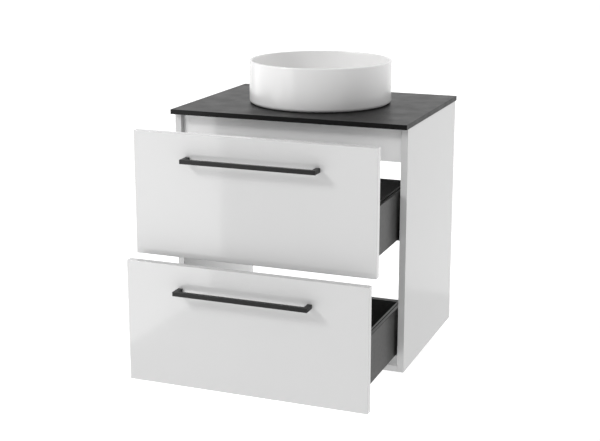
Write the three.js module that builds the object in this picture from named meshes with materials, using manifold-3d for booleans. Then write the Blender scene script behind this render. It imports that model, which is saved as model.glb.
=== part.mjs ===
// Wall-hung bathroom vanity: a two-drawer cabinet, a dark worktop and a round vessel basin.
//
// Millimetres, +Z up. The wall is the plane y = 0 and the drawer fronts face -Y, so depths are negative.
// Heights are measured from the cabinet's underside. The last lines lower the whole assembly, so that the
// origin lies at the centre of the hanging rail's back face, where the cabinet bears on the wall.
// Both drawers are modelled part-way open, which is their rest position.

import * as THREE from "three";
import { mergeVertices } from "three/addons/utils/BufferGeometryUtils.js";
import Module from "manifold-3d";

const wasm = await Module();
wasm.setup();

// ---- Driving dimensions -------------------------------------------------------------------------------

const SEAM = 0.2; // hairline left between two pieces that touch
const OVERSHOOT = 1; // how far a cutting tool runs past the piece it cuts

// Cabinet boards
const CABINET_WIDTH = 600;
const CABINET_HEIGHT = 600;
const CABINET_DEPTH = 440;
const BOARD = 16;
const FRONT_RAIL_HEIGHT = 83;
const FRONT_RAIL_SETBACK = 12;
const HANGING_RAIL_HEIGHT = 100;

// Hangers in the upper rear corners, which hook over a plate on the wall
const HANGER_WIDTH = 22;
const HANGER_DEPTH = 42;
const HANGER_HEIGHT = 60;
const HANGER_DROP = 8; // below the hanging rail
const HOOK_LIP = 3;
const HOOK_SLOT_WIDTH = 3.4;
const HOOK_SLOT_HEIGHT = 38;

// Worktop
const WORKTOP_THICKNESS = 12;
const WORKTOP_SIDE_OVERHANG = 3;
const WORKTOP_FRONT_OVERHANG = 20;
const WORKTOP_HOLE_RADIUS = 24;

// Basin
const BASIN_RADIUS = 180.7;
const BASIN_HEIGHT = 108;
const BASIN_CENTRE_Y = -213;
const BASIN_RIM = 6.8; // wall thickness at the rim
const BASIN_FLOOR = 15; // floor thickness at the outside of the bowl
const BASIN_FALL = 3; // how far the floor falls towards the waste
const BASIN_BASE_CORNER = 9;
const BASIN_BOWL_CORNER = 26;
const BASIN_HOLE_RADIUS = 23;
const BASIN_SEAT_RADIUS = 37; // flat ring that the waste is clamped on

// Waste
const WASTE_TAIL_RADIUS = 20;
const WASTE_BORE_RADIUS = 16.5;
const WASTE_TAIL_END = 527; // height of the tail's lower end
const FLANGE_RADIUS = 33;
const FLANGE_THICKNESS = 2.5;
const SEAL_THICKNESS = 2;
const NUT_RADIUS = 30; // across corners, halved
const NUT_THICKNESS = 9;
const FLANGE_CHAMFER = 1;
const SPIDER_DEPTH = 14; // below the flange, the bar that guides the plug's stem
const SPIDER_HEIGHT = 7;
const SPIDER_WIDTH = 5;
const BOSS_RADIUS = 5.5;
const STEM_RADIUS = 2.5;
const STEM_LENGTH = 34;
const PLUG_RADIUS = 31;
const PLUG_THICKNESS = 5;
const PLUG_DOME = [[1, 0.4], [0.93, 0.7], [0.6, 0.93]]; // shares of the radius and of the thickness
const RUNNING_GAP = 0.4; // between a sliding piece and its guide

// Drawer fronts and handles
const FRONT_WIDTH = 596;
const FRONT_HEIGHT = 295.5;
const FRONT_THICKNESS = 18;
const FRONT_STANDOFF = 2; // from the cabinet when the drawer is shut
const HANDLE_LENGTH = 330;
const HANDLE_PROJECTION = 32;
const HANDLE_BAR = 10; // bar's size away from the front
const HANDLE_THICKNESS = 10; // bar's height
const HANDLE_FOOT = 11;
const HANDLE_OUTER_CORNER = 1.5;
const HANDLE_INNER_CORNER = 1;
const HANDLE_CORNER_STEPS = 3;
const HANDLE_DROP = 59; // below the front's top edge
const SCREW_RADIUS = 2;
const SCREW_HOLE_RADIUS = 2.3;
const SCREW_GRIP = 8; // length of the screw inside the handle's foot
const SCREW_HEAD_RADIUS = 4.2;
const SCREW_HEAD_HEIGHT = 2.4;
const SCREW_HEAD_CHAMFER = 1;

// Drawer boxes: double-walled metal sides, with a board for the bottom and one for the back
const BOX_LENGTH = 322;
const BOX_HEIGHT = 118;
const SIDE_CLEARANCE = 5; // between the cabinet side and the box
const SIDE_WIDTH = 14;
const SHEET = 1;
const LEDGE_HEIGHT = 8; // of the ledge that carries the bottom board
const LEDGE_WIDTH = 14;
const LIP_WIDTH = 5; // raised inner strip along the top of a side
const LIP_RISE = 1;
const GROOVE = 1.2;

// Runners: three nested steel sections inside each box side
const STEEL = 1.2;
const RUNNER_LENGTH = 320;
const RUNNER_SETBACK = 2;
const RUNNER_GAP = 0.8; // between one section and the next
const RUNNER_WEB_HEIGHT = 24; // on the cabinet side
const RUNNER_FOOT_DROP = 0.3; // below the box side
const UPSTAND_INSET = 11.4; // from the cabinet side
const UPSTAND_HEIGHT = 13;
const MIDDLE_SECTION_BASE = 2; // above the box's underside
const INNER_SECTION_BASE = 5;

// Brackets between a front and the box sides
const BRACKET_WIDTH = 9.4;
const BRACKET_PLATE = 2;
const BRACKET_TONGUE_WIDTH = 6;
const BRACKET_LENGTH = 30;
const BRACKET_HEIGHT = 56;
const BRACKET_BASE = 38;

// Segments to a full circle
const BASIN_SEGMENTS = 64;
const WASTE_SEGMENTS = 32;
const SMALL_SEGMENTS = 16;

// The two drawers: heights of the front's lower edge and of the box's underside, and how far it stands open
const DRAWERS = [
  { name: "upper", frontBase: 300, boxBase: 331, open: 200 },
  { name: "lower", frontBase: 0.5, boxBase: 41.5, open: 250 },
];

// ---- Derived places -----------------------------------------------------------------------------------

const cabinetFront = -CABINET_DEPTH;
const innerHalfWidth = CABINET_WIDTH / 2 - BOARD;
const worktopBase = CABINET_HEIGHT + SEAM;
const worktopTop = worktopBase + WORKTOP_THICKNESS;
const basinBase = worktopTop + SEAM;
const seatHeight = basinBase + BASIN_FLOOR - BASIN_FALL;
const sealBase = seatHeight + SEAM;
const flangeBase = sealBase + SEAL_THICKNESS + SEAM;
const flangeTop = flangeBase + FLANGE_THICKNESS;
const hangingRailCentre = CABINET_HEIGHT - HANGING_RAIL_HEIGHT / 2;
const SIDES = [
  { name: "left", sign: -1 },
  { name: "right", sign: 1 },
];

// ---- Materials ----------------------------------------------------------------------------------------

function material(color, roughness, metalness) {
  return new THREE.MeshStandardMaterial({ color, roughness, metalness });
}

const glossWhite = material(0xe6e6e6, 0.08, 0);
const blackTop = material(0x242424, 0.42, 0);
const ceramic = material(0xeeeeec, 0.12, 0);
const blackHandle = material(0x1f1f1f, 0.45, 0.3);
const anthracite = material(0x55565a, 0.4, 0.5);
const darkBoard = material(0x2a2a2b, 0.6, 0);
const galvanised = material(0xa9abab, 0.35, 0.9);
const castBracket = material(0x8d8f90, 0.45, 0.8);
const chrome = material(0xd8d9da, 0.08, 1);
const rubber = material(0x202020, 0.8, 0);

// ---- Geometry helpers ---------------------------------------------------------------------------------

// A box from its lowest corner to its highest corner.
function boxBetween([x0, y0, z0], [x1, y1, z1]) {
  const geometry = new THREE.BoxGeometry(x1 - x0, y1 - y0, z1 - z0);
  return geometry.translate((x0 + x1) / 2, (y0 + y1) / 2, (z0 + z1) / 2);
}

function shapeFrom(points) {
  return new THREE.Shape(points.map(([x, y]) => new THREE.Vector2(x, y)));
}

// An outline in the XZ plane, drawn out along Y from y0 to y1.
function alongY(points, y0, y1) {
  const geometry = new THREE.ExtrudeGeometry(shapeFrom(points), { depth: y1 - y0, bevelEnabled: false });
  return geometry.rotateX(Math.PI / 2).translate(0, y1, 0);
}

// An outline in the XY plane, drawn out along Z from z0 to z1.
function alongZ(shape, z0, z1, curveSegments = SMALL_SEGMENTS) {
  const geometry = new THREE.ExtrudeGeometry(shape, { depth: z1 - z0, bevelEnabled: false, curveSegments });
  return geometry.translate(0, 0, z0);
}

// A closed profile of [radius, height] points turned about the basin's vertical axis.
function turned(profile, segments) {
  const points = profile.map(([radius, height]) => new THREE.Vector2(radius, height));
  return new THREE.LatheGeometry(points, segments).rotateX(Math.PI / 2).translate(0, BASIN_CENTRE_Y, 0);
}

// Points of a quarter circle about a centre, from one angle to another, in degrees.
function arc(centreX, centreY, radius, fromDegrees, toDegrees, steps) {
  return Array.from({ length: steps + 1 }, (_, i) => {
    const angle = THREE.MathUtils.degToRad(fromDegrees + ((toDegrees - fromDegrees) * i) / steps);
    return [centreX + radius * Math.cos(angle), centreY + radius * Math.sin(angle)];
  });
}

function toSolid(geometry) {
  const bare = geometry.clone();
  bare.deleteAttribute("normal");
  bare.deleteAttribute("uv");
  const merged = mergeVertices(bare);
  const mesh = new wasm.Mesh({
    numProp: 3,
    vertProperties: merged.attributes.position.array,
    triVerts: new Uint32Array(merged.index.array),
  });
  return new wasm.Manifold(mesh);
}

function fromSolid(solid) {
  const { vertProperties, triVerts } = solid.getMesh();
  const geometry = new THREE.BufferGeometry();
  geometry.setAttribute("position", new THREE.BufferAttribute(vertProperties, 3));
  geometry.setIndex(new THREE.BufferAttribute(triVerts, 1));
  return geometry;
}

function cut(geometry, tools) {
  return fromSolid(tools.reduce((solid, tool) => solid.subtract(toSolid(tool)), toSolid(geometry)));
}

function join(geometry, additions) {
  return fromSolid(additions.reduce((solid, addition) => solid.add(toSolid(addition)), toSolid(geometry)));
}

// A round bar along Y, for drilling holes.
function barAlongY(x, z, radius, y0, y1) {
  const geometry = new THREE.CylinderGeometry(radius, radius, y1 - y0, SMALL_SEGMENTS);
  return geometry.translate(x, (y0 + y1) / 2, z);
}

// ---- Assembly -----------------------------------------------------------------------------------------

const vanity = new THREE.Group();

function add(name, geometry, look) {
  const mesh = new THREE.Mesh(geometry, look);
  mesh.name = name;
  vanity.add(mesh);
}

// ---- Cabinet ------------------------------------------------------------------------------------------

function addCabinet() {
  const outer = CABINET_WIDTH / 2;
  const between = innerHalfWidth - SEAM;
  const railFront = cabinetFront + FRONT_RAIL_SETBACK;
  const boards = {
    side_panel_left: [[-outer, cabinetFront, 0], [-innerHalfWidth, 0, CABINET_HEIGHT]],
    side_panel_right: [[innerHalfWidth, cabinetFront, 0], [outer, 0, CABINET_HEIGHT]],
    bottom_panel: [[-between, cabinetFront, 0], [between, 0, BOARD]],
    front_rail: [
      [-between, railFront, CABINET_HEIGHT - FRONT_RAIL_HEIGHT],
      [between, railFront + BOARD, CABINET_HEIGHT],
    ],
    hanging_rail: [
      [-between, -BOARD, CABINET_HEIGHT - HANGING_RAIL_HEIGHT],
      [between, 0, CABINET_HEIGHT],
    ],
  };
  for (const [name, [lowest, highest]] of Object.entries(boards)) {
    add(name, boxBetween(lowest, highest), glossWhite);
  }
}

// A block with a slot that opens downwards near its back, leaving a lip that goes behind the wall plate.
function hangerGeometry(sign) {
  const near = innerHalfWidth - SEAM;
  const far = near - HANGER_WIDTH;
  const top = CABINET_HEIGHT - HANGING_RAIL_HEIGHT - HANGER_DROP;
  const base = top - HANGER_HEIGHT;
  const [x0, x1] = [sign * near, sign * far].sort((a, b) => a - b);
  const block = boxBetween([x0, -HANGER_DEPTH, base], [x1, 0, top]);
  const slot = boxBetween(
    [x0 - OVERSHOOT, -HOOK_LIP - HOOK_SLOT_WIDTH, base - OVERSHOOT],
    [x1 + OVERSHOOT, -HOOK_LIP, base + HOOK_SLOT_HEIGHT],
  );
  return cut(block, [slot]);
}

// ---- Worktop and basin --------------------------------------------------------------------------------

function worktopGeometry() {
  const half = CABINET_WIDTH / 2 + WORKTOP_SIDE_OVERHANG;
  const front = cabinetFront - WORKTOP_FRONT_OVERHANG;
  const shape = shapeFrom([[-half, front], [half, front], [half, 0], [-half, 0]]);
  const hole = new THREE.Path();
  hole.absarc(0, BASIN_CENTRE_Y, WORKTOP_HOLE_RADIUS, 0, 2 * Math.PI, true);
  shape.holes.push(hole);
  return alongZ(shape, worktopBase, worktopTop, WASTE_SEGMENTS);
}

function basinGeometry() {
  const rimRadius = BASIN_RIM / 2;
  const rimCentre = basinBase + BASIN_HEIGHT - rimRadius;
  const bowlRadius = BASIN_RADIUS - BASIN_RIM;
  const bowlFloor = basinBase + BASIN_FLOOR;
  const profile = [
    [BASIN_HOLE_RADIUS, basinBase],
    ...arc(BASIN_RADIUS - BASIN_BASE_CORNER, basinBase + BASIN_BASE_CORNER, BASIN_BASE_CORNER, -90, 0, 3),
    ...arc(BASIN_RADIUS - rimRadius, rimCentre, rimRadius, 0, 180, 4),
    ...arc(bowlRadius - BASIN_BOWL_CORNER, bowlFloor + BASIN_BOWL_CORNER, BASIN_BOWL_CORNER, 0, -90, 5),
    [BASIN_SEAT_RADIUS, seatHeight],
    [BASIN_HOLE_RADIUS, seatHeight],
    [BASIN_HOLE_RADIUS, basinBase],
  ];
  return turned(profile, BASIN_SEGMENTS);
}

// ---- Waste --------------------------------------------------------------------------------------------

function ringProfile(innerRadius, outerRadius, base, top) {
  return [
    [innerRadius, base],
    [outerRadius, base],
    [outerRadius, top],
    [innerRadius, top],
    [innerRadius, base],
  ];
}

function rodProfile(radius, base, top) {
  return [[0, base], [radius, base], [radius, top], [0, top]];
}

// Flange and threaded tail in one piece, with a bar across the bore that guides the plug's stem.
function wasteBodyGeometry() {
  const profile = [
    [WASTE_BORE_RADIUS, WASTE_TAIL_END],
    [WASTE_TAIL_RADIUS, WASTE_TAIL_END],
    [WASTE_TAIL_RADIUS, flangeBase],
    [FLANGE_RADIUS, flangeBase],
    [FLANGE_RADIUS, flangeTop - FLANGE_CHAMFER],
    [FLANGE_RADIUS - FLANGE_CHAMFER, flangeTop],
    [WASTE_BORE_RADIUS, flangeTop],
    [WASTE_BORE_RADIUS, WASTE_TAIL_END],
  ];
  const spiderTop = flangeBase - SPIDER_DEPTH;
  const spiderBase = spiderTop - SPIDER_HEIGHT;
  const reach = (WASTE_BORE_RADIUS + WASTE_TAIL_RADIUS) / 2;
  const bar = boxBetween(
    [-reach, BASIN_CENTRE_Y - SPIDER_WIDTH / 2, spiderBase],
    [reach, BASIN_CENTRE_Y + SPIDER_WIDTH / 2, spiderTop],
  );
  const boss = turned(rodProfile(BOSS_RADIUS, spiderBase, spiderTop), SMALL_SEGMENTS);
  const guide = turned(
    rodProfile(STEM_RADIUS + RUNNING_GAP, spiderBase - OVERSHOOT, spiderTop + OVERSHOOT),
    SMALL_SEGMENTS,
  );
  return cut(join(turned(profile, WASTE_SEGMENTS), [bar, boss]), [guide]);
}

// A shallow dome on a stem. It rests on the flange when it is shut.
function wastePlugGeometry() {
  const base = flangeTop + SEAM;
  const profile = [
    [0, base - STEM_LENGTH],
    [STEM_RADIUS, base - STEM_LENGTH],
    [STEM_RADIUS, base],
    [PLUG_RADIUS, base],
    ...PLUG_DOME.map(([across, up]) => [PLUG_RADIUS * across, base + PLUG_THICKNESS * up]),
    [0, base + PLUG_THICKNESS],
  ];
  return turned(profile, WASTE_SEGMENTS);
}

function wasteNutGeometry(base) {
  const shape = shapeFrom(arc(0, BASIN_CENTRE_Y, NUT_RADIUS, 0, 300, 5));
  const hole = new THREE.Path();
  hole.absarc(0, BASIN_CENTRE_Y, WASTE_TAIL_RADIUS + SEAM, 0, 2 * Math.PI, true);
  shape.holes.push(hole);
  return alongZ(shape, base, base + NUT_THICKNESS, WASTE_SEGMENTS);
}

function addWaste() {
  const bore = WASTE_TAIL_RADIUS + SEAM;
  const underSealTop = worktopBase - SEAM;
  const underSealBase = underSealTop - SEAL_THICKNESS;
  const topSealRadius = FLANGE_RADIUS - FLANGE_CHAMFER;
  const topSeal = ringProfile(bore, topSealRadius, sealBase, sealBase + SEAL_THICKNESS);
  const underSeal = ringProfile(bore, NUT_RADIUS, underSealBase, underSealTop);
  add("waste_body", wasteBodyGeometry(), chrome);
  add("waste_top_seal", turned(topSeal, WASTE_SEGMENTS), rubber);
  add("waste_under_seal", turned(underSeal, WASTE_SEGMENTS), rubber);
  add("waste_nut", wasteNutGeometry(underSealBase - SEAM - NUT_THICKNESS), chrome);
  add("waste_plug", wastePlugGeometry(), chrome);
}

// ---- Drawer fronts and handles ------------------------------------------------------------------------

// The D-shaped handle seen from above: two feet and a straight bar, with its back on y = 0.
function handleShape() {
  const half = HANDLE_LENGTH / 2;
  const innerHalf = half - HANDLE_FOOT;
  const front = -HANDLE_PROJECTION;
  const barBack = front + HANDLE_BAR;
  const shape = new THREE.Shape();
  shape.moveTo(-half, 0);
  shape.lineTo(-half, front + HANDLE_OUTER_CORNER);
  shape.quadraticCurveTo(-half, front, -half + HANDLE_OUTER_CORNER, front);
  shape.lineTo(half - HANDLE_OUTER_CORNER, front);
  shape.quadraticCurveTo(half, front, half, front + HANDLE_OUTER_CORNER);
  shape.lineTo(half, 0);
  shape.lineTo(innerHalf, 0);
  shape.lineTo(innerHalf, barBack - HANDLE_INNER_CORNER);
  shape.quadraticCurveTo(innerHalf, barBack, innerHalf - HANDLE_INNER_CORNER, barBack);
  shape.lineTo(-innerHalf + HANDLE_INNER_CORNER, barBack);
  shape.quadraticCurveTo(-innerHalf, barBack, -innerHalf, barBack - HANDLE_INNER_CORNER);
  shape.lineTo(-innerHalf, 0);
  shape.closePath();
  return shape;
}

// A pan-head screw that goes through the front, from behind, into the handle's foot.
function screwGeometry(x, frontBack, height) {
  const tip = frontBack - FRONT_THICKNESS - SEAM - SCREW_GRIP;
  const headBase = frontBack + SEAM;
  const headTop = headBase + SCREW_HEAD_HEIGHT;
  const profile = [
    [0, tip],
    [SCREW_RADIUS, tip],
    [SCREW_RADIUS, headBase],
    [SCREW_HEAD_RADIUS, headBase],
    [SCREW_HEAD_RADIUS, headTop - SCREW_HEAD_CHAMFER],
    [SCREW_HEAD_RADIUS - SCREW_HEAD_CHAMFER, headTop],
    [0, headTop],
  ];
  const points = profile.map(([radius, y]) => new THREE.Vector2(radius, y));
  return new THREE.LatheGeometry(points, SMALL_SEGMENTS).translate(x, 0, height);
}

function addFront(drawer) {
  const frontBack = cabinetFront - FRONT_STANDOFF - drawer.open;
  const frontFace = frontBack - FRONT_THICKNESS;
  const halfWidth = FRONT_WIDTH / 2;
  const top = drawer.frontBase + FRONT_HEIGHT;
  const handleHeight = top - HANDLE_DROP;
  const handleBase = handleHeight - HANDLE_THICKNESS / 2;
  const screwX = HANDLE_LENGTH / 2 - HANDLE_FOOT / 2;
  const board = boxBetween([-halfWidth, frontFace, drawer.frontBase], [halfWidth, frontBack, top]);
  const handle = alongZ(handleShape(), handleBase, handleBase + HANDLE_THICKNESS, HANDLE_CORNER_STEPS);
  handle.translate(0, frontFace - SEAM, 0);
  const footHoleEnd = frontFace - SEAM - SCREW_GRIP - OVERSHOOT;
  const holes = SIDES.map(({ sign }) =>
    barAlongY(sign * screwX, handleHeight, SCREW_HOLE_RADIUS, footHoleEnd, frontBack + OVERSHOOT));
  add(`${drawer.name}_front`, cut(board, holes), glossWhite);
  add(`${drawer.name}_handle`, cut(handle, holes), blackHandle);
  for (const side of SIDES) {
    const name = `${drawer.name}_handle_screw_${side.name}`;
    add(name, screwGeometry(side.sign * screwX, frontBack, handleHeight), galvanised);
  }
}

// ---- Drawer boxes and runners -------------------------------------------------------------------------

// Outlines below are drawn as [distance from the cabinet side, height above the box's underside], and
// placed on the left or the right by this function.
function sectionAlongY(outline, sign, base, y0, y1) {
  const points = outline.map(([inwards, height]) => [sign * (innerHalfWidth - inwards), base + height]);
  return alongY(points, y0, y1);
}

// Double wall, open at the bottom for the runner, with a raised lip and a groove along its top and a ledge
// for the bottom board.
const outerFace = SIDE_CLEARANCE;
const innerFace = SIDE_CLEARANCE + SIDE_WIDTH;
const sideOutline = [
  [outerFace, 0],
  [outerFace + SHEET, 0],
  [outerFace + SHEET, BOX_HEIGHT - LIP_RISE - GROOVE - SHEET],
  [innerFace - SHEET, BOX_HEIGHT - LIP_RISE - GROOVE - SHEET],
  [innerFace - SHEET, LEDGE_HEIGHT],
  [innerFace + LEDGE_WIDTH, LEDGE_HEIGHT],
  [innerFace + LEDGE_WIDTH, LEDGE_HEIGHT + SHEET],
  [innerFace, LEDGE_HEIGHT + SHEET],
  [innerFace, BOX_HEIGHT],
  [innerFace - LIP_WIDTH, BOX_HEIGHT],
  [innerFace - LIP_WIDTH, BOX_HEIGHT - LIP_RISE - GROOVE],
  [innerFace - LIP_WIDTH - GROOVE, BOX_HEIGHT - LIP_RISE - GROOVE],
  [innerFace - LIP_WIDTH - GROOVE, BOX_HEIGHT - LIP_RISE],
  [outerFace + LIP_RISE, BOX_HEIGHT - LIP_RISE],
  [outerFace, BOX_HEIGHT - 2 * LIP_RISE],
];

// The fixed section: a web on the cabinet side, a foot under the box side and an upstand inside it.
const footTop = -RUNNER_FOOT_DROP;
const footBase = footTop - STEEL;
const upstand = { near: UPSTAND_INSET, far: UPSTAND_INSET + STEEL, top: UPSTAND_HEIGHT };
const fixedOutline = [
  [SEAM, footBase],
  [upstand.far, footBase],
  [upstand.far, upstand.top],
  [upstand.near, upstand.top],
  [upstand.near, footTop],
  [SEAM + STEEL, footTop],
  [SEAM + STEEL, RUNNER_WEB_HEIGHT],
  [SEAM, RUNNER_WEB_HEIGHT],
];

// An upside-down channel that straddles the section inside it.
function channel(inner, base) {
  const near = inner.near - RUNNER_GAP - STEEL;
  const far = inner.far + RUNNER_GAP + STEEL;
  const top = inner.top + RUNNER_GAP + STEEL;
  const outline = [
    [near, base],
    [near + STEEL, base],
    [near + STEEL, top - STEEL],
    [far - STEEL, top - STEEL],
    [far - STEEL, base],
    [far, base],
    [far, top],
    [near, top],
  ];
  return { near, far, top, outline };
}

const middleSection = channel(upstand, MIDDLE_SECTION_BASE);
const innerSection = channel(middleSection, INNER_SECTION_BASE);

function addRunners(drawer, side) {
  const shut = cabinetFront + RUNNER_SETBACK;
  const outlines = [
    ["fixed", fixedOutline, 0],
    ["middle", middleSection.outline, drawer.open / 2],
    ["sliding", innerSection.outline, drawer.open],
  ];
  for (const [section, outline, travel] of outlines) {
    const y0 = shut - travel;
    const geometry = sectionAlongY(outline, side.sign, drawer.boxBase, y0, y0 + RUNNER_LENGTH);
    add(`${drawer.name}_runner_${section}_${side.name}`, geometry, galvanised);
  }
}

// A plate behind the front and a tongue that reaches into the hollow side.
function bracketGeometry(sign, base, frontBack) {
  const centre = sign * (innerHalfWidth - SIDE_CLEARANCE - SIDE_WIDTH / 2);
  const plate = BRACKET_WIDTH / 2;
  const tongue = BRACKET_TONGUE_WIDTH / 2;
  const near = frontBack + SEAM;
  const shape = shapeFrom([
    [centre - plate, near],
    [centre + plate, near],
    [centre + plate, near + BRACKET_PLATE],
    [centre + tongue, near + BRACKET_PLATE],
    [centre + tongue, near + BRACKET_LENGTH],
    [centre - tongue, near + BRACKET_LENGTH],
    [centre - tongue, near + BRACKET_PLATE],
    [centre - plate, near + BRACKET_PLATE],
  ]);
  return alongZ(shape, base + BRACKET_BASE, base + BRACKET_BASE + BRACKET_HEIGHT);
}

function addBox(drawer) {
  const frontBack = cabinetFront - FRONT_STANDOFF - drawer.open;
  const boxFront = frontBack + SEAM;
  const boxBack = frontBack + BOX_LENGTH;
  const half = innerHalfWidth - innerFace - SEAM;
  const boardBase = drawer.boxBase + LEDGE_HEIGHT + SHEET + SEAM;
  const boardTop = boardBase + BOARD;
  const bottom = boxBetween([-half, boxFront, boardBase], [half, boxBack, boardTop]);
  const back = boxBetween(
    [-half, boxBack - BOARD, boardTop + SEAM],
    [half, boxBack, drawer.boxBase + BOX_HEIGHT],
  );
  add(`${drawer.name}_box_bottom`, bottom, darkBoard);
  add(`${drawer.name}_box_back`, back, darkBoard);
  for (const side of SIDES) {
    const wall = sectionAlongY(sideOutline, side.sign, drawer.boxBase, boxFront, boxBack);
    const bracket = bracketGeometry(side.sign, drawer.boxBase, frontBack);
    add(`${drawer.name}_box_side_${side.name}`, wall, anthracite);
    add(`${drawer.name}_bracket_${side.name}`, bracket, castBracket);
    addRunners(drawer, side);
  }
}

// ---- Build --------------------------------------------------------------------------------------------

addCabinet();
for (const side of SIDES) {
  add(`hanger_${side.name}`, hangerGeometry(side.sign), castBracket);
}
add("worktop", worktopGeometry(), blackTop);
add("basin", basinGeometry(), ceramic);
addWaste();
for (const drawer of DRAWERS) {
  addFront(drawer);
  addBox(drawer);
}
vanity.position.z = -hangingRailCentre;

export default vanity;
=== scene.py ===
"""Looks of a wall-hung bathroom vanity with two open drawers and a round vessel basin.

Metres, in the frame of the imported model: the wall is the plane y = 0, the fronts face -Y and +Z is up.
Places and outer sizes come from the model's own boxes.
"""

import itertools
import math

import bmesh
import bpy
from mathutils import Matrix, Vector


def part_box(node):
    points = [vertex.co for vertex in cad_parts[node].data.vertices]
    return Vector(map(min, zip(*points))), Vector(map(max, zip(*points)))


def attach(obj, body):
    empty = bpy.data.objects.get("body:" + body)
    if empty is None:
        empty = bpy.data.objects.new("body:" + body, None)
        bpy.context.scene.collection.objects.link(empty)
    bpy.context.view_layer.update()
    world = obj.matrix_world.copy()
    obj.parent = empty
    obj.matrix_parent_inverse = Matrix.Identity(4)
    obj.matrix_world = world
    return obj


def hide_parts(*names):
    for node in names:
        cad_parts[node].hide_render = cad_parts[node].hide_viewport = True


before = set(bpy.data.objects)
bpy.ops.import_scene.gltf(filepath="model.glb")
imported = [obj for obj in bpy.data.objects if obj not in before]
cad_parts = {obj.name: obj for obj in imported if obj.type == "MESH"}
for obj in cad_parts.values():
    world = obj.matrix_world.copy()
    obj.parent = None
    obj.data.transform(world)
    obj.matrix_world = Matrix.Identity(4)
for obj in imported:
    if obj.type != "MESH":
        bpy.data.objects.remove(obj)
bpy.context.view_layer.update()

MM = 0.001
SIDES = ("left", "right")
DRAWERS = ("upper", "lower")
scene = bpy.context.scene


# ---- Camera, light and floor --------------------------------------------------------------------------

SENSOR = 36.0
LENS = 75.012
CAMERA_FROM_UNDERSIDE = Vector((1.0938, -3.1820, 1.1297))  # across, from the wall, above the underside
CAMERA_YAW = 21.17
CAMERA_PITCH = 13.37
CAMERA_SHIFT = -0.05
CLIP_START, CLIP_END = 0.05, 60.0

WORLD_FRONT = 0.52  # radiance of the world in front of the object
WORLD_BACK = 1.04  # and behind it
WORLD_HIGH_BACK = 0.24  # what the world behind gains high up
TURN = (0.1, 0.7)  # a direction's y where the world turns from front to back
RISE = (0.02, 0.35)  # a direction's z where the high part begins and is full

FLOOR_SIZE = 24.0
FLOOR_DROP = 0.25  # from the cabinet's underside to the floor
FLOOR_COLOUR = 0.92
FLOOR_ROUGHNESS = 0.9
FLOOR_GLOW = 0.37
FLOOR_BACK_GLOW = 0.55
FLOOR_BACK_EDGE = 0.92  # where the brighter stretch behind the wall plane begins
FLOOR_BACK_BLEND = 0.05

SCREEN_X = -0.745
SCREEN_BACK, SCREEN_FRONT = -0.1, -2.1
SCREEN_HEIGHT = 2.2
SCREEN_POWER = 27.0
KEY_FROM = (-3.7, -4.35, 3.6)
KEY_TOWARDS = (0, -0.6, 0)
KEY_SIZE = (1.3, 1.3)
KEY_POWER = 128.0


def set_range(node, start, end, low, high):
    """Makes a Map Range node run from low at start to high at end."""
    for socket, value in zip(("From Min", "From Max", "To Min", "To Max"), (start, end, low, high)):
        node.inputs[socket].default_value = value


def add_camera(underside):
    data = bpy.data.cameras.new("camera")
    data.sensor_width = SENSOR
    data.lens = LENS
    data.shift_y = CAMERA_SHIFT
    data.clip_start, data.clip_end = CLIP_START, CLIP_END
    camera = bpy.data.objects.new("camera", data)
    camera.location = CAMERA_FROM_UNDERSIDE + Vector((0, 0, underside))
    camera.rotation_euler = (math.radians(90 - CAMERA_PITCH), 0, math.radians(CAMERA_YAW))
    scene.collection.objects.link(camera)
    scene.camera = camera


def add_area_light(name, location, target, size, power):
    data = bpy.data.lights.new(name, "AREA")
    data.shape = "RECTANGLE"
    data.size, data.size_y = size
    data.energy = power
    light = bpy.data.objects.new(name, data)
    light.location = location
    light.rotation_euler = (Vector(target) - Vector(location)).to_track_quat("-Z", "Y").to_euler()
    light.visible_camera = False
    scene.collection.objects.link(light)
    return light


def add_world():
    """A white room: soft in front of the object, bright behind it and brightest high up at the back."""
    world = bpy.data.worlds.new("studio")
    scene.world = world
    world.use_nodes = True
    nodes, links = world.node_tree.nodes, world.node_tree.links
    nodes.clear()
    split = nodes.new("ShaderNodeSeparateXYZ")
    links.new(nodes.new("ShaderNodeTexCoord").outputs["Generated"], split.inputs[0])

    def ramp(axis, span, low, high):
        node = nodes.new("ShaderNodeMapRange")
        node.interpolation_type = "SMOOTHSTEP"
        set_range(node, *span, low, high)
        links.new(split.outputs[axis], node.inputs["Value"])
        return node.outputs["Result"]

    def combine(operation, first, second):
        node = nodes.new("ShaderNodeMath")
        node.operation = operation
        links.new(first, node.inputs[0])
        links.new(second, node.inputs[1])
        return node.outputs[0]

    horizon = ramp("Y", TURN, WORLD_FRONT, WORLD_BACK)
    high_back = combine("MULTIPLY", ramp("Y", TURN, 0, WORLD_HIGH_BACK), ramp("Z", RISE, 0, 1))
    radiance = combine("ADD", horizon, high_back)
    background = nodes.new("ShaderNodeBackground")
    background.inputs["Color"].default_value = (1, 1, 1, 1)
    output = nodes.new("ShaderNodeOutputWorld")
    links.new(radiance, background.inputs["Strength"])
    links.new(background.outputs[0], output.inputs["Surface"])


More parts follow.
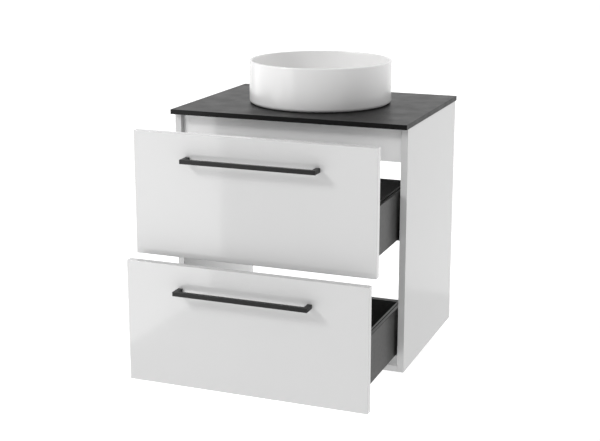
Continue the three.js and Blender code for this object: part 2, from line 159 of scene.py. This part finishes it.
def add_floor(height):
    """A plain pale floor, with a brighter stretch behind the object that the side panel mirrors."""
    mesh = bpy.data.meshes.new("floor")
    half = FLOOR_SIZE / 2
    corners = ((-half, -half), (half, -half), (half, half), (-half, half))
    mesh.from_pydata([(x, y, height) for x, y in corners], [], [(0, 1, 2, 3)])
    floor = bpy.data.objects.new("floor", mesh)
    scene.collection.objects.link(floor)
    material = bpy.data.materials.new("floor")
    material.use_nodes = True
    nodes, links = material.node_tree.nodes, material.node_tree.links
    shader = nodes["Principled BSDF"]
    shader.inputs["Base Color"].default_value = (FLOOR_COLOUR, FLOOR_COLOUR, FLOOR_COLOUR, 1)
    shader.inputs["Roughness"].default_value = FLOOR_ROUGHNESS
    shader.inputs["Emission Color"].default_value = (1, 1, 1, 1)
    split = nodes.new("ShaderNodeSeparateXYZ")
    glow = nodes.new("ShaderNodeMapRange")
    set_range(glow, FLOOR_BACK_EDGE, FLOOR_BACK_EDGE + FLOOR_BACK_BLEND, FLOOR_GLOW, FLOOR_BACK_GLOW)
    links.new(nodes.new("ShaderNodeTexCoord").outputs["Object"], split.inputs[0])
    links.new(split.outputs["Y"], glow.inputs["Value"])
    links.new(glow.outputs["Result"], shader.inputs["Emission Strength"])
    mesh.materials.append(material)


def add_studio():
    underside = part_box("bottom_panel")[0].z
    floor = underside - FLOOR_DROP
    add_camera(underside)
    add_world()
    add_floor(floor)
    # A tall bright screen on the left, down to the floor. The gloss fronts mirror its edge and its foot.
    middle = ((SCREEN_BACK + SCREEN_FRONT) / 2, floor + SCREEN_HEIGHT / 2)
    size = (SCREEN_BACK - SCREEN_FRONT, SCREEN_HEIGHT)
    screen = add_area_light("screen", (SCREEN_X, *middle), (0, *middle), size, SCREEN_POWER)
    screen.visible_diffuse = False
    # The key light, high on the left in front, throws the handles' soft shadows down to the right.
    add_area_light("key", KEY_FROM, KEY_TOWARDS, KEY_SIZE, KEY_POWER)
    scene.view_settings.view_transform = "Standard"
    scene.view_settings.look = "None"


# ---- Materials ----------------------------------------------------------------------------------------

NOISE_ROUGHNESS = 0.55
NOISE_MIDDLE = (0.3, 0.7)


class Look:
    """A procedural material: one shader, varied by noise in the object's own coordinates."""

    def __init__(self, name, colour, roughness,
                 metallic=0.0, coat=0.0, coat_roughness=0.05, specular=0.5):
        self.material = bpy.data.materials.new(name)
        self.material.use_nodes = True
        self.tree = self.material.node_tree
        self.shader = self.tree.nodes["Principled BSDF"]
        self.colour = colour
        self.set("Base Color", (*colour, 1))
        self.set("Roughness", roughness)
        self.set("Metallic", metallic)
        self.set("Coat Weight", coat)
        self.set("Coat Roughness", coat_roughness)
        self.set("Specular IOR Level", specular)
        self.coordinates = self.tree.nodes.new("ShaderNodeTexCoord")
        self.normal = None

    def set(self, socket, value):
        self.shader.inputs[socket].default_value = value

    def link(self, source, target):
        self.tree.links.new(source, target)

    def noise(self, size, detail, stretch=(1, 1, 1)):
        """Noise whose features are about size metres across."""
        mapping = self.tree.nodes.new("ShaderNodeMapping")
        mapping.inputs["Scale"].default_value = stretch
        texture = self.tree.nodes.new("ShaderNodeTexNoise")
        texture.inputs["Scale"].default_value = 1 / size
        texture.inputs["Detail"].default_value = detail
        texture.inputs["Roughness"].default_value = NOISE_ROUGHNESS
        self.link(self.coordinates.outputs["Object"], mapping.inputs["Vector"])
        self.link(mapping.outputs["Vector"], texture.inputs["Vector"])
        return texture.outputs["Fac"]

    def cells(self, size):
        texture = self.tree.nodes.new("ShaderNodeTexVoronoi")
        texture.inputs["Scale"].default_value = 1 / size
        self.link(self.coordinates.outputs["Object"], texture.inputs["Vector"])
        return texture.outputs["Color"]

    def vary_colour(self, source, low, high):
        """The colour runs between low and high times the base colour."""
        ramp = self.tree.nodes.new("ShaderNodeMix")
        ramp.data_type = "RGBA"
        ramp.inputs["A"].default_value = (*[c * low for c in self.colour], 1)
        ramp.inputs["B"].default_value = (*[c * high for c in self.colour], 1)
        self.link(source, ramp.inputs["Factor"])
        self.link(ramp.outputs["Result"], self.shader.inputs["Base Color"])
        return self

    def vary_roughness(self, source, low, high):
        """The roughness runs from low to high over the middle of the noise's range."""
        ramp = self.tree.nodes.new("ShaderNodeMapRange")
        set_range(ramp, *NOISE_MIDDLE, low, high)
        self.link(source, ramp.inputs["Value"])
        self.link(ramp.outputs["Result"], self.shader.inputs["Roughness"])
        return self

    def bump(self, source, depth):
        """Adds relief of the given depth in metres to any that is there already."""
        node = self.tree.nodes.new("ShaderNodeBump")
        node.inputs["Distance"].default_value = depth
        node.inputs["Strength"].default_value = 1.0
        self.link(source, node.inputs["Height"])
        if self.normal is not None:
            self.link(self.normal, node.inputs["Normal"])
        self.normal = node.outputs["Normal"]
        self.link(self.normal, self.shader.inputs["Normal"])
        return self


def grey(value, warmth=0.0):
    return (value * (1 + warmth), value, value * (1 - warmth))


def make_gloss_white(colour):
    look = Look("gloss_white", grey(colour), 0.08)
    look.vary_colour(look.noise(0.25, 2), 0.985, 1.015)
    look.vary_roughness(look.noise(0.06, 3), 0.05, 0.11)
    look.bump(look.noise(0.0035, 1), 4e-6)
    return look.bump(look.noise(0.09, 1), 3e-5).material


def make_edge_band():
    look = Look("edge_band", grey(0.67), 0.14)
    look.vary_colour(look.noise(0.03, 2), 0.97, 1.02)
    look.vary_roughness(look.noise(0.02, 3), 0.1, 0.2)
    return look.bump(look.noise(0.004, 2), 1e-5).material


def make_worktop():
    look = Look("satin_black", grey(0.006), 0.45, specular=0.12)
    look.vary_colour(look.noise(0.0012, 4), 0.6, 1.5)
    look.vary_roughness(look.noise(0.05, 4), 0.36, 0.44)
    look.bump(look.noise(0.0009, 3), 2e-5)
    return look.bump(look.noise(0.012, 2), 2e-5).material


def make_ceramic():
    look = Look("glaze", grey(0.92, 0.004), 0.27, coat=0.2, coat_roughness=0.12)
    look.vary_colour(look.noise(0.07, 3), 0.985, 1.012)
    look.vary_roughness(look.noise(0.008, 2), 0.23, 0.26)
    look.bump(look.noise(0.045, 1), 1.2e-4)
    return look.bump(look.noise(0.0025, 2), 4e-6).material


def make_bisque():
    look = Look("unglazed_foot", grey(0.62, 0.03), 0.85)
    look.vary_colour(look.noise(0.004, 4), 0.85, 1.1)
    return look.bump(look.noise(0.0012, 4), 8e-5).material


def make_handle():
    look = Look("black_powder_coat", grey(0.009), 0.38, specular=0.22)
    look.vary_colour(look.noise(0.002, 3), 0.8, 1.25)
    look.vary_roughness(look.noise(0.015, 3), 0.34, 0.42)
    return look.bump(look.noise(0.0008, 2), 2.5e-5).material


def make_anthracite():
    look = Look("anthracite_powder_coat", (0.021, 0.021, 0.0198), 0.3, specular=0.14)
    look.vary_colour(look.noise(0.0015, 3), 0.88, 1.12)
    look.vary_roughness(look.noise(0.01, 3), 0.28, 0.33)
    return look.bump(look.noise(0.0009, 2), 2.5e-5).material


def make_dark_board():
    look = Look("dark_laminate", grey(0.03), 0.5)
    look.vary_colour(look.noise(0.006, 5, (1, 0.12, 1)), 0.6, 1.5)
    look.vary_roughness(look.noise(0.01, 3), 0.44, 0.6)
    return look.bump(look.noise(0.0015, 4, (1, 0.15, 1)), 6e-5).material


def make_galvanised():
    look = Look("galvanised", (0.55, 0.56, 0.57), 0.35, metallic=1.0)
    look.vary_colour(look.cells(0.006), 0.82, 1.08)
    look.vary_roughness(look.noise(0.005, 4), 0.28, 0.5)
    return look.bump(look.noise(0.003, 3, (1, 0.1, 1)), 2e-5).material


def make_zinc():
    look = Look("cast_zinc", (0.46, 0.47, 0.48), 0.5, metallic=1.0)
    look.vary_colour(look.noise(0.004, 4), 0.8, 1.1)
    look.vary_roughness(look.noise(0.003, 3), 0.42, 0.62)
    return look.bump(look.noise(0.0012, 4), 6e-5).material


def make_chrome():
    look = Look("chrome", (0.55, 0.556, 0.56), 0.07, metallic=1.0)
    look.vary_colour(look.noise(0.02, 2), 0.96, 1.02)
    look.vary_roughness(look.noise(0.02, 3), 0.05, 0.1)
    return look.bump(look.noise(0.03, 1), 2e-5).material


def make_rubber():
    look = Look("rubber", grey(0.02), 0.8)
    look.vary_colour(look.noise(0.002, 3), 0.7, 1.3)
    return look.bump(look.noise(0.0008, 3), 5e-5).material


# One white lacquer in four brightnesses. The fronts' is the base. The side panels' outer faces are painted
# darker as painted shade. The rail, the bottom panel and the inward faces are painted lighter as painted
# light. The hanging rail is painted darker as painted shade against the light from behind.
gloss_white = make_gloss_white(0.67)
side_white_painted_shade = make_gloss_white(0.545)
carcass_white_painted_light = make_gloss_white(0.9)
back_white_painted_shade = make_gloss_white(0.72)
edge_band = make_edge_band()
satin_black = make_worktop()
glaze = make_ceramic()
bisque = make_bisque()
black_coat = make_handle()
anthracite = make_anthracite()
dark_laminate = make_dark_board()
galvanised = make_galvanised()
zinc = make_zinc()
chrome = make_chrome()
rubber = make_rubber()


# ---- Mesh helpers -------------------------------------------------------------------------------------


SHARP = 35  # degrees between two faces from which their edge is bevelled
BASIN_SHARP = 60  # degrees from which an edge of the basin isn't smoothed
WELD_DISTANCE = 0.001 * MM


def finish_piece(name, mesh, body, materials, nodes=(), bevel=0.0, segments=3):
    """Turns a mesh into a piece that rides on a body and stands for the CAD nodes named, if any."""
    piece = bpy.data.objects.new(name, mesh)
    scene.collection.objects.link(piece)
    for material in materials:
        mesh.materials.append(material)
    if bevel:
        add_bevel(piece, bevel, segments)
    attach(piece, body)
    if nodes:
        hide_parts(*nodes)


def add_bevel(piece, width, segments):
    modifier = piece.modifiers.new("edges", "BEVEL")
    modifier.width = width
    modifier.segments = segments
    modifier.limit_method = "ANGLE"
    modifier.angle_limit = math.radians(SHARP)
    modifier.harden_normals = True


def smooth(mesh, angle):
    for polygon in mesh.polygons:
        polygon.use_smooth = True
    mesh.set_sharp_from_angle(angle=math.radians(angle))


def mesh_of(name, bm):
    bmesh.ops.recalc_face_normals(bm, faces=bm.faces)
    mesh = bpy.data.meshes.new(name)
    bm.to_mesh(mesh)
    bm.free()
    return mesh


def box_mesh(name, low, high):
    bm = bmesh.new()
    corners = itertools.product(*zip(low, high))
    verts = [bm.verts.new(corner) for corner in corners]
    for face in ((0, 1, 3, 2), (4, 6, 7, 5), (0, 4, 5, 1), (2, 3, 7, 6), (0, 2, 6, 4), (1, 5, 7, 3)):
        bm.faces.new([verts[i] for i in face])
    mesh = mesh_of(name, bm)
    smooth(mesh, 180)
    return mesh


def prism_mesh(name, outline, start, end):
    """A closed outline of 2-D points seen from above, drawn out upwards from start to end."""
    bm = bmesh.new()
    first = [bm.verts.new((*point, start)) for point in outline]
    last = [bm.verts.new((*point, end)) for point in outline]
    bm.faces.new(first)
    bm.faces.new(last)
    for i in range(len(outline)):
        j = (i + 1) % len(outline)
        bm.faces.new((first[i], first[j], last[j], last[i]))
    mesh = mesh_of(name, bm)
    smooth(mesh, 180)
    return mesh


def turned_mesh(name, profile, centre, segments, sharp):
    """A closed profile of (radius, height) points turned about the vertical axis through centre."""
    bm = bmesh.new()
    angles = [2 * math.pi * i / segments for i in range(segments)]
    rings = []
    for radius, height in profile:
        ring = [(centre.x + radius * math.cos(a), centre.y + radius * math.sin(a), height) for a in angles]
        rings.append([bm.verts.new(point) for point in ring])
    for inner, outer in zip(rings, rings[1:] + rings[:1]):
        for i in range(segments):
            j = (i + 1) % segments
            bm.faces.new((inner[i], inner[j], outer[j], outer[i]))
    mesh = mesh_of(name, bm)
    smooth(mesh, sharp)
    return mesh


def arc(centre, radius, start, end, steps):
    """Points of an arc about centre, from one angle to another in degrees."""
    angles = [math.radians(start + (end - start) * i / steps) for i in range(steps + 1)]
    return [(centre[0] + radius * math.cos(a), centre[1] + radius * math.sin(a)) for a in angles]


def dress(node, material, bevel=0.0, segments=2):
    """Gives a CAD node that keeps its shape its material, and fine rounded edges."""
    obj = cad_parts[node]
    obj.data.materials.clear()
    obj.data.materials.append(material)
    weld = obj.modifiers.new("weld", "WELD")
    weld.merge_threshold = WELD_DISTANCE
    if bevel:
        add_bevel(obj, bevel, segments)


# ---- Cabinet ------------------------------------------------------------------------------------------

BAND = 0.8 * MM  # edge band along a board's visible front edge
BAND_SEAM = 0.08 * MM
BAND_EDGE = 0.35 * MM
BOARD_EDGE = 0.5 * MM


def add_board(node, materials, banded=True, inwards=0):
    """A board with a glued band along its front edge. A second material is for its inward face: a lighter
    copy of the white, painted light.
    """
    low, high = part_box(node)
    start = low.y + (BAND + BAND_SEAM if banded else 0)
    mesh = box_mesh(node + "_board", (low.x, start, low.z), high)
    if inwards:
        for polygon in mesh.polygons:
            if polygon.normal.x * inwards > 0.9:
                polygon.material_index = 1
    finish_piece(node + "_board", mesh, "cabinet", materials, [node], BOARD_EDGE)
    if banded:
        mesh = box_mesh(node + "_band", low, (high.x, low.y + BAND, high.z))
        finish_piece(node + "_band", mesh, "cabinet", [edge_band], bevel=BAND_EDGE)


def add_cabinet():
    # The side panels' outer faces get a darker copy of the white as painted shade, and their inward faces,
    # the bottom panel and the front rail a lighter one as painted light. The hanging rail gets a darker
    # copy as painted shade against the light from behind.
    for side, inwards in (("left", 1), ("right", -1)):
        add_board(f"side_panel_{side}", [side_white_painted_shade, carcass_white_painted_light], inwards=inwards)
    add_board("bottom_panel", [carcass_white_painted_light])
    add_board("front_rail", [carcass_white_painted_light], banded=False)
    add_board("hanging_rail", [back_white_painted_shade], banded=False)
    for side in SIDES:
        dress(f"hanger_{side}", zinc, 0.8 * MM)


# ---- Worktop ------------------------------------------------------------------------------------------


def add_worktop():
    dress("worktop", satin_black, 0.6 * MM, 3)


# ---- Basin --------------------------------------------------------------------------------------------

BASIN_RIM = 6.8 * MM
BASIN_FLOOR = 15 * MM
BASIN_FALL = 3 * MM
BASIN_BASE_CORNER = 9 * MM
BASIN_BOWL_CORNER = 26 * MM
BASIN_SEAT = 37 * MM
BASIN_HOLE = 23 * MM
BASIN_CHAMFER = 1 * MM  # round the waste hole
BASIN_SEGMENTS = 160
SEAT_EDGE = 2 * MM  # from the flat seat up to the bowl's floor
SEAT_RISE = 0.2 * MM
FOOT_WIDTH = 14 * MM
FOOT_RECESS = 2.5 * MM
FOOT_SLOPE = 2 * MM
FOOT_GLAZE_LINE = 0.1 * MM  # how far above the recess the bare clay ends


def add_basin():
    low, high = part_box("basin")
    centre = (low + high) / 2
    height = high.z - low.z
    radius = (high.x - low.x) / 2
    lip = BASIN_RIM / 2
    bowl = radius - BASIN_RIM
    floor = low.z + BASIN_FLOOR
    seat = floor - BASIN_FALL
    foot = radius - BASIN_BASE_CORNER
    recess = low.z + FOOT_RECESS
    slope = bowl - BASIN_BOWL_CORNER - BASIN_SEAT
    profile = [
        (BASIN_HOLE, recess + BASIN_CHAMFER),
        (BASIN_HOLE + BASIN_CHAMFER, recess),
        (foot - FOOT_WIDTH - FOOT_SLOPE, recess),
        (foot - FOOT_WIDTH, low.z),
        *arc((foot, low.z + BASIN_BASE_CORNER), BASIN_BASE_CORNER, -90, 0, 8),
        *[(radius, low.z + height * f) for f in (0.25, 0.5, 0.75)],
        *arc((radius - lip, high.z - lip), lip, 0, 180, 12),
        *[(bowl, low.z + height * f) for f in (0.8, 0.6)],
        *arc((bowl - BASIN_BOWL_CORNER, floor + BASIN_BOWL_CORNER), BASIN_BOWL_CORNER, 0, -86, 12),
        *[(BASIN_SEAT + slope * f, seat + BASIN_FALL * f * f) for f in (0.8, 0.6, 0.4, 0.2)],
        (BASIN_SEAT, seat + SEAT_RISE),
        (BASIN_SEAT - SEAT_EDGE, seat),
        (BASIN_HOLE + BASIN_CHAMFER, seat),
        (BASIN_HOLE, seat - BASIN_CHAMFER),
    ]
    mesh = turned_mesh("basin_body", profile, centre, BASIN_SEGMENTS, BASIN_SHARP)
    for polygon in mesh.polygons:
        ring = Vector((polygon.center.x - centre.x, polygon.center.y - centre.y)).length
        if polygon.center.z < recess + FOOT_GLAZE_LINE and ring < foot:
            polygon.material_index = 1
    finish_piece("basin_body", mesh, "cabinet", [glaze, bisque], ["basin"])


# ---- Waste --------------------------------------------------------------------------------------------


def add_waste():
    dress("waste_body", chrome, 0.4 * MM)
    dress("waste_top_seal", rubber)
    dress("waste_under_seal", rubber)
    dress("waste_nut", chrome, 0.6 * MM)
    dress("waste_plug", chrome, 0.6 * MM)


# ---- Drawers ------------------------------------------------------------------------------------------

FRONT_EDGE = 1.2 * MM
HANDLE_BAR = 10 * MM
HANDLE_FOOT = 11 * MM
HANDLE_EDGE = 0.4 * MM


def add_front(drawer):
    node = f"{drawer}_front"
    low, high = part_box(node)
    mesh = box_mesh(node + "_board", low, high)
    finish_piece(node + "_board", mesh, f"{drawer}_drawer", [gloss_white], [node],
                 FRONT_EDGE, 4)


def add_handle(drawer):
    node = f"{drawer}_handle"
    low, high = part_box(node)
    outline = [
        (low.x, high.y), (low.x, low.y), (high.x, low.y), (high.x, high.y),
        (high.x - HANDLE_FOOT, high.y), (high.x - HANDLE_FOOT, low.y + HANDLE_BAR),
        (low.x + HANDLE_FOOT, low.y + HANDLE_BAR), (low.x + HANDLE_FOOT, high.y),
    ]
    mesh = prism_mesh(node + "_bar", outline, low.z, high.z)
    finish_piece(node + "_bar", mesh, f"{drawer}_drawer", [black_coat], [node],
                 HANDLE_EDGE)


def add_drawer(drawer):
    add_front(drawer)
    add_handle(drawer)
    dress(f"{drawer}_box_bottom", dark_laminate, 0.3 * MM)
    dress(f"{drawer}_box_back", dark_laminate, 0.5 * MM)
    for side in SIDES:
        dress(f"{drawer}_handle_screw_{side}", zinc)
        dress(f"{drawer}_box_side_{side}", anthracite, 0.25 * MM)
        dress(f"{drawer}_bracket_{side}", zinc, 0.4 * MM)
        for section in ("fixed", "middle", "sliding"):
            dress(f"{drawer}_runner_{section}_{side}", galvanised, 0.25 * MM)


# ---- Everything ---------------------------------------------------------------------------------------

add_studio()
add_cabinet()
add_worktop()
add_basin()
add_waste()
for drawer in DRAWERS:
    add_drawer(drawer)
